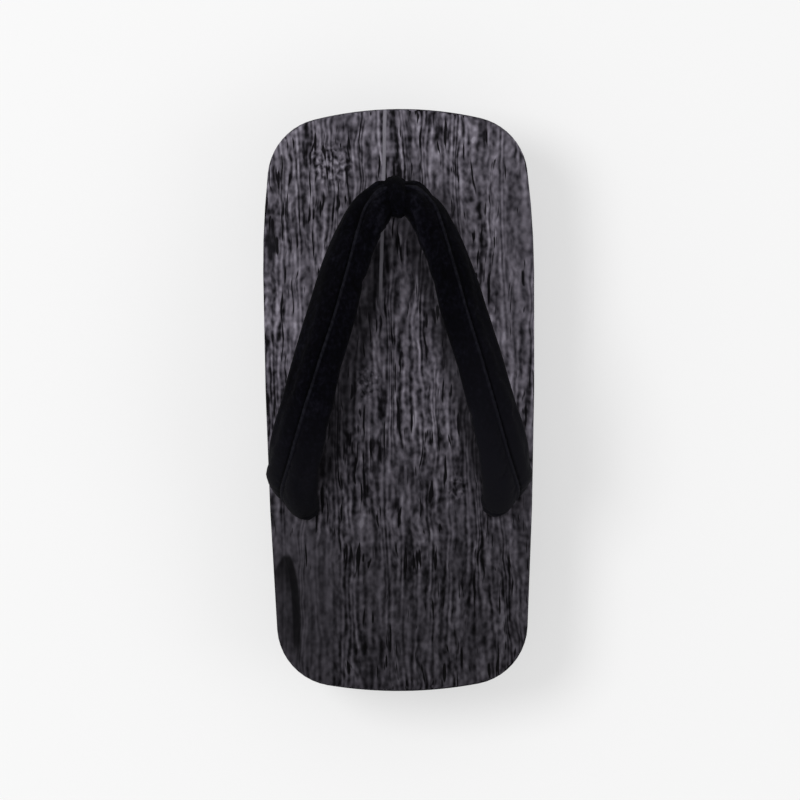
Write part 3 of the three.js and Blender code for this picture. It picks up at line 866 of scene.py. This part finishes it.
def make_knot(node, hole, hole_radius, stem_top, tail_bearings, material):
    """A cord tied over itself under a hole, with its stem in the hole and two short tails."""
    level = min(underside_at(hole.y - KNOT_RADIUS), underside_at(hole.y + KNOT_RADIUS))
    level -= GAP + KNOT_RADIUS / 2 + CORD_RADIUS
    centre = Vector((hole.x, hole.y, level))
    tie = []
    for i in range(KNOT_STEPS):
        u = 4 * pi * i / KNOT_STEPS
        swing = KNOT_RADIUS * (2 + cos(1.5 * u)) / 2
        tie.append(centre + Vector((swing * cos(u), swing * sin(u), KNOT_RADIUS * sin(1.5 * u) / 2)))
    parts = [rope(tie, CORD_RADIUS, CORD_PITCH, closed=True)]
    heights = [level + (stem_top - level) * i / STEM_STEPS for i in range(STEM_STEPS + 1)]
    stem = [Vector((hole.x, hole.y, height)) for height in heights]
    parts.append(rope(stem, hole_radius - GAP, STEM_PITCH, size=30))
    for bearing in tail_bearings:
        turn = radians(bearing)
        out = Vector((cos(turn) * cos(TAIL_DROOP), sin(turn) * cos(TAIL_DROOP), -sin(TAIL_DROOP)))
        curl = Vector((-sin(turn), cos(turn), 0)) * TAIL_CURL
        tail = []
        for i in range(TAIL_STEPS + 1):
            share = i / TAIL_STEPS
            tail.append(centre + out * (KNOT_RADIUS * 0.8 + TAIL_LENGTH * share) + curl * sin(pi * share))
        parts.append(rope(tail, CORD_RADIUS * 1.02, CORD_PITCH))
    bm = bmesh.new()
    for part in parts:
        mesh = bpy.data.meshes.new("strand")
        part.to_mesh(mesh)
        part.free()
        bm.from_mesh(mesh)
        bpy.data.meshes.remove(mesh)
    knot = finished(bm, "tied_" + node, material)
    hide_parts(node)
    return knot


# The studio


def make_floor():
    bm = bmesh.new()
    bmesh.ops.create_grid(bm, x_segments=1, y_segments=1, size=FLOOR_HALF)
    mesh = bpy.data.meshes.new("floor")
    bm.to_mesh(mesh)
    bm.free()
    pale = Nodes("pale_floor").finish(
        Base_Color=(FLOOR_GREY, FLOOR_GREY, FLOOR_GREY, 1),
        Roughness=0.9,
        Specular_IOR_Level=0.0,
        Emission_Color=(1, 1, 1, 1),
        Emission_Strength=FLOOR_GLOW,
    )
    mesh.materials.append(pale)
    ground = bpy.data.objects.new("floor", mesh)
    bpy.context.scene.collection.objects.link(ground)


def make_light(name, place, size, watts):
    data = bpy.data.lights.new(name, "AREA")
    data.shape = "DISK"
    data.size = size
    data.energy = watts
    lamp = bpy.data.objects.new(name, data)
    lamp.location = place
    lamp.rotation_mode = "QUATERNION"
    lamp.rotation_quaternion = (-Vector(place)).to_track_quat("-Z", "Y")
    bpy.context.scene.collection.objects.link(lamp)


def make_studio():
    world = bpy.data.worlds.new("studio")
    world.use_nodes = True
    background = world.node_tree.nodes["Background"]
    background.inputs["Color"].default_value = (1, 1, 1, 1)
    background.inputs["Strength"].default_value = WORLD_LIGHT
    bpy.context.scene.world = world
    make_light("key", place=(-1.3, 0.5, 2.4), size=1.2, watts=33)
    make_light("fill", place=(1.9, -0.5, 2.1), size=1.6, watts=8)
    make_floor()


def make_camera():
    data = bpy.data.cameras.new("camera")
    data.sensor_width = CAMERA_SENSOR
    distance = CAMERA_HEIGHT - TOP
    data.lens = CAMERA_SENSOR * distance * BOARD_SHARE / (TOE - HEEL)
    data.clip_end = 20
    camera = bpy.data.objects.new("camera", data)
    camera.location = (0, 0, CAMERA_HEIGHT)
    camera.rotation_euler = (0, 0, -radians(CAMERA_ROLL))
    bpy.context.scene.collection.objects.link(camera)
    bpy.context.scene.camera = camera
    bpy.context.scene.view_settings.view_transform = "Standard"


make_camera()
make_studio()
make_board(BurntWood().made())
make_bands(velvet("band_velvet", seamed=True))
make_toe_loop(velvet("loop_velvet", seamed=False))
cotton = twisted_cotton()
left_hole = Vector((-REAR_HOLE.x, REAR_HOLE.y, REAR_HOLE.z))
make_knot("front_knot", FRONT_HOLE, FRONT_HOLE_RADIUS, FRONT_STEM_TOP, (35, 160), cotton)
make_knot("rear_knot_right", REAR_HOLE, REAR_HOLE_RADIUS, TOP, (100, 195), cotton)
make_knot("rear_knot_left", left_hole, REAR_HOLE_RADIUS, TOP, (-20, 75), cotton)
